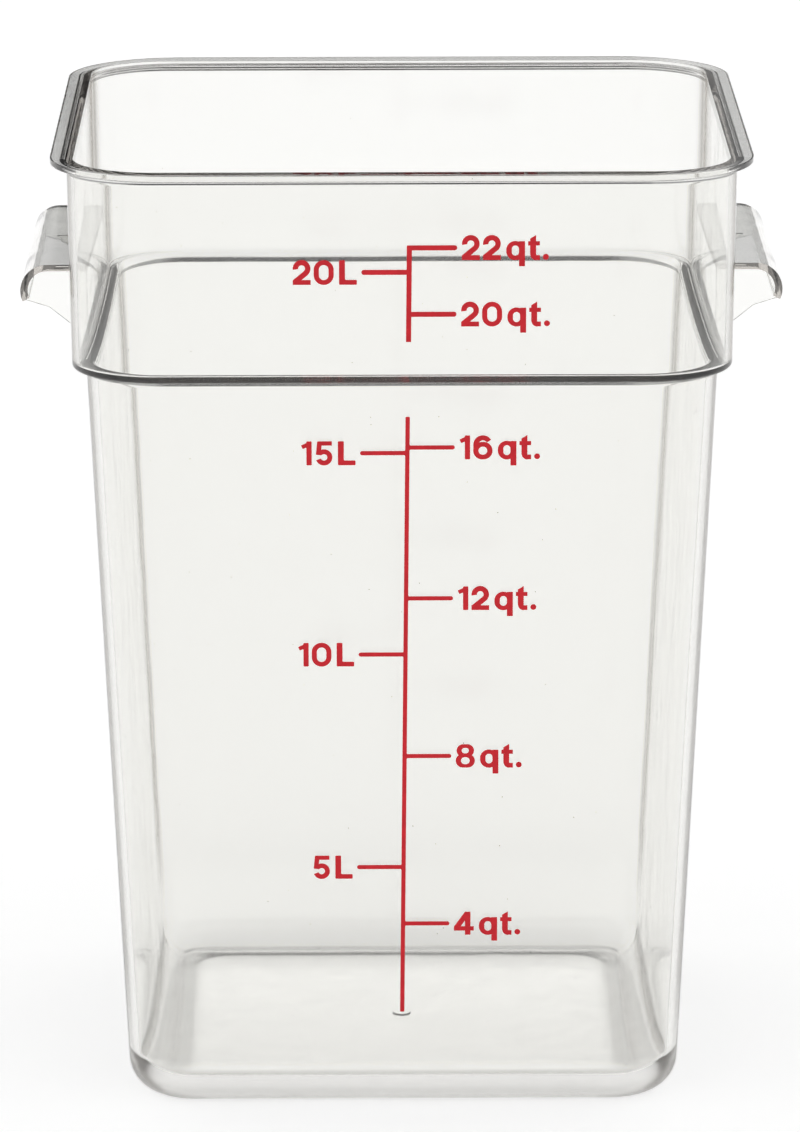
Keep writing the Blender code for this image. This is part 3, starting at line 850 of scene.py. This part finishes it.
def white_table():
    """Lit white table: it glows by itself, and the room's light adds the rest."""
    made = bpy.data.materials.new("white_studio_floor")
    tree = empty_tree(made)
    matt = add_node(tree, "ShaderNodeBsdfDiffuse", inputs={"Color": linear("#F4F4F4")})
    # Painted light: a pool of glow is added on the table inside the foot, strongest towards the back
    spot = add_node(tree, "ShaderNodeTexCoord").outputs["Object"]
    aside = add_node(tree, "ShaderNodeVectorMath", {0: spot}, operation="ABSOLUTE").outputs[0]
    aside = add_node(tree, "ShaderNodeSeparateXYZ", {0: aside}).outputs
    outward = add_node(
        tree, "ShaderNodeMath", {0: aside["X"], 1: aside["Y"]}, operation="MAXIMUM"
    ).outputs[0]
    inside = add_node(
        tree, "ShaderNodeMapRange", {"Value": outward}, interpolation_type="SMOOTHSTEP",
        inputs={"From Min": 95 * MM, "From Max": 85 * MM},
    ).outputs["Result"]
    back = add_node(tree, "ShaderNodeSeparateXYZ", {0: spot}).outputs["Y"]
    painted_pool = add_node(
        tree, "ShaderNodeMapRange", {"Value": back},
        inputs={"From Min": -90 * MM, "From Max": 90 * MM, "To Min": PAINTED_POOL_FRONT, "To Max": PAINTED_POOL_BACK},
    ).outputs["Result"]
    strength = add_node(
        tree, "ShaderNodeMath", {0: inside, 1: painted_pool}, operation="MULTIPLY_ADD", inputs={2: TABLE_GLOW}
    ).outputs[0]
    glow = add_node(tree, "ShaderNodeEmission", {"Strength": strength}, inputs={"Color": (1, 1, 1, 1)})
    both = add_node(tree, "ShaderNodeAddShader", {0: matt.outputs[0], 1: glow.outputs[0]})
    add_node(tree, "ShaderNodeOutputMaterial", {"Surface": both.outputs[0]})
    made.cycles.emission_sampling = "NONE"
    return made


def room_side(tree, height, steps):
    """Brightness of one side of the room, from the horizon up to the zenith."""
    ramp = add_node(tree, "ShaderNodeValToRGB", {0: height})
    while len(ramp.color_ramp.elements) < len(steps):
        ramp.color_ramp.elements.new(0.5)
    for element, (position, value) in zip(ramp.color_ramp.elements, steps):
        element.position = position
        element.color = (value, value, value, 1)
    return ramp.outputs["Color"]


def soft_room():
    """Soft studio light all round: one side of the room behind the container and one in front of it."""
    made = bpy.data.worlds.new("soft_studio_light")
    made.cycles.sampling_method = "NONE"
    tree = empty_tree(made)
    toward = add_node(tree, "ShaderNodeTexCoord").outputs["Generated"]
    parts = add_node(tree, "ShaderNodeSeparateXYZ", {0: toward}).outputs
    behind = room_side(tree, parts["Z"], ROOM_BEHIND)
    in_front = room_side(tree, parts["Z"], ROOM_IN_FRONT)
    front = add_node(
        tree, "ShaderNodeMapRange", {"Value": parts["Y"]}, interpolation_type="SMOOTHSTEP",
        inputs={"From Min": 0.1, "From Max": -0.1},
    ).outputs["Result"]
    sides = add_node(
        tree, "ShaderNodeMix", {"Factor": front, 6: behind, 7: in_front}, data_type="RGBA"
    ).outputs[2]
    # Two pale panels stand at the sides of the dark gap, so that handles and side rims stay light
    aside = add_node(tree, "ShaderNodeMath", {0: parts["X"]}, operation="ABSOLUTE").outputs[0]
    panels = add_node(
        tree, "ShaderNodeMapRange", {"Value": aside}, interpolation_type="SMOOTHSTEP",
        inputs={"From Min": 0.041, "From Max": 0.048, "To Max": SIDE_PANELS},
    ).outputs["Result"]
    bright = add_node(tree, "ShaderNodeVectorMath", {0: sides, 1: panels}, operation="MAXIMUM").outputs[0]
    sky = add_node(tree, "ShaderNodeBackground", {"Color": bright}, inputs={"Strength": 1})
    add_node(tree, "ShaderNodeOutputWorld", {"Surface": sky.outputs[0]})
    return made


def front_camera():
    """The camera, a little above the rim and looking down at the printed front."""
    lens = bpy.data.cameras.new("camera")
    lens.lens = LENS
    lens.sensor_width = FILM_WIDTH
    lens.clip_end = SIGHT
    made = bpy.data.objects.new("camera", lens)
    bpy.context.scene.collection.objects.link(made)
    back = Vector((-math.sin(YAW) * math.cos(PITCH), -math.cos(YAW) * math.cos(PITCH), math.sin(PITCH)))
    made.location = Vector(AIM) + DISTANCE * back
    made.rotation_mode = "QUATERNION"
    turn = (-back).to_track_quat("-Z", "Y")
    made.rotation_quaternion = turn @ Matrix.Rotation(ROLL, 3, "Z").to_quaternion()
    return made


class CONTAINER_OT_stage(bpy.types.Operator):
    """Make the pale floor, the soft light and the camera"""

    bl_idname = "container.stage"
    bl_label = "Studio"

    def execute(self, context):
        """Lay the floor, light the room and place the camera."""
        scene = context.scene
        bm = bmesh.new()
        bmesh.ops.create_circle(
            bm, cap_ends=True, radius=TABLE_RADIUS, segments=64, matrix=Matrix.Translation((0, 0, -TABLE_DROP))
        )
        floor = new_object("studio_floor", bm)
        floor.data.materials.append(white_table())
        scene.world = soft_room()
        scene.camera = front_camera()
        scene.view_settings.view_transform = "Standard"
        scene.cycles.max_bounces = CLEAR_BOUNCES
        scene.cycles.transmission_bounces = CLEAR_BOUNCES
        scene.cycles.glossy_bounces = MIRROR_BOUNCES
        return {"FINISHED"}


class VIEW3D_PT_container(bpy.types.Panel):
    """Sizes and makers of the container"""

    bl_label = "Container"
    bl_space_type = "VIEW_3D"
    bl_region_type = "UI"
    bl_category = "Container"

    def draw(self, context):
        """List the makers and the sizes."""
        layout = self.layout
        for operator in OPERATORS:
            layout.operator(operator.bl_idname)
        for group in sizes():
            box = layout.box()
            for name in group.__annotations__:
                box.prop(group, name)


OPERATORS = (CONTAINER_OT_moulding, CONTAINER_OT_scale, CONTAINER_OT_stage)
GROUPS = (
    ("container_tub", TubSizes),
    ("container_handles", HandleSizes),
    ("container_print", PrintSizes),
    ("container_finish", Finish),
)


def register():
    """Register the classes and hang the groups on the scene."""
    for _, group in GROUPS:
        bpy.utils.register_class(group)
    for made in (*OPERATORS, VIEW3D_PT_container):
        bpy.utils.register_class(made)
    for name, group in GROUPS:
        setattr(bpy.types.Scene, name, PointerProperty(type=group))


def unregister():
    """Take the groups off the scene and unregister the classes."""
    for name, _ in GROUPS:
        delattr(bpy.types.Scene, name)
    for made in (VIEW3D_PT_container, *reversed(OPERATORS)):
        bpy.utils.unregister_class(made)
    for _, group in reversed(GROUPS):
        bpy.utils.unregister_class(group)


def main():
    """Make every piece."""
    register()
    bpy.ops.container.moulding()
    bpy.ops.container.scale()
    bpy.ops.container.stage()


if __name__ == "__main__":
    main()
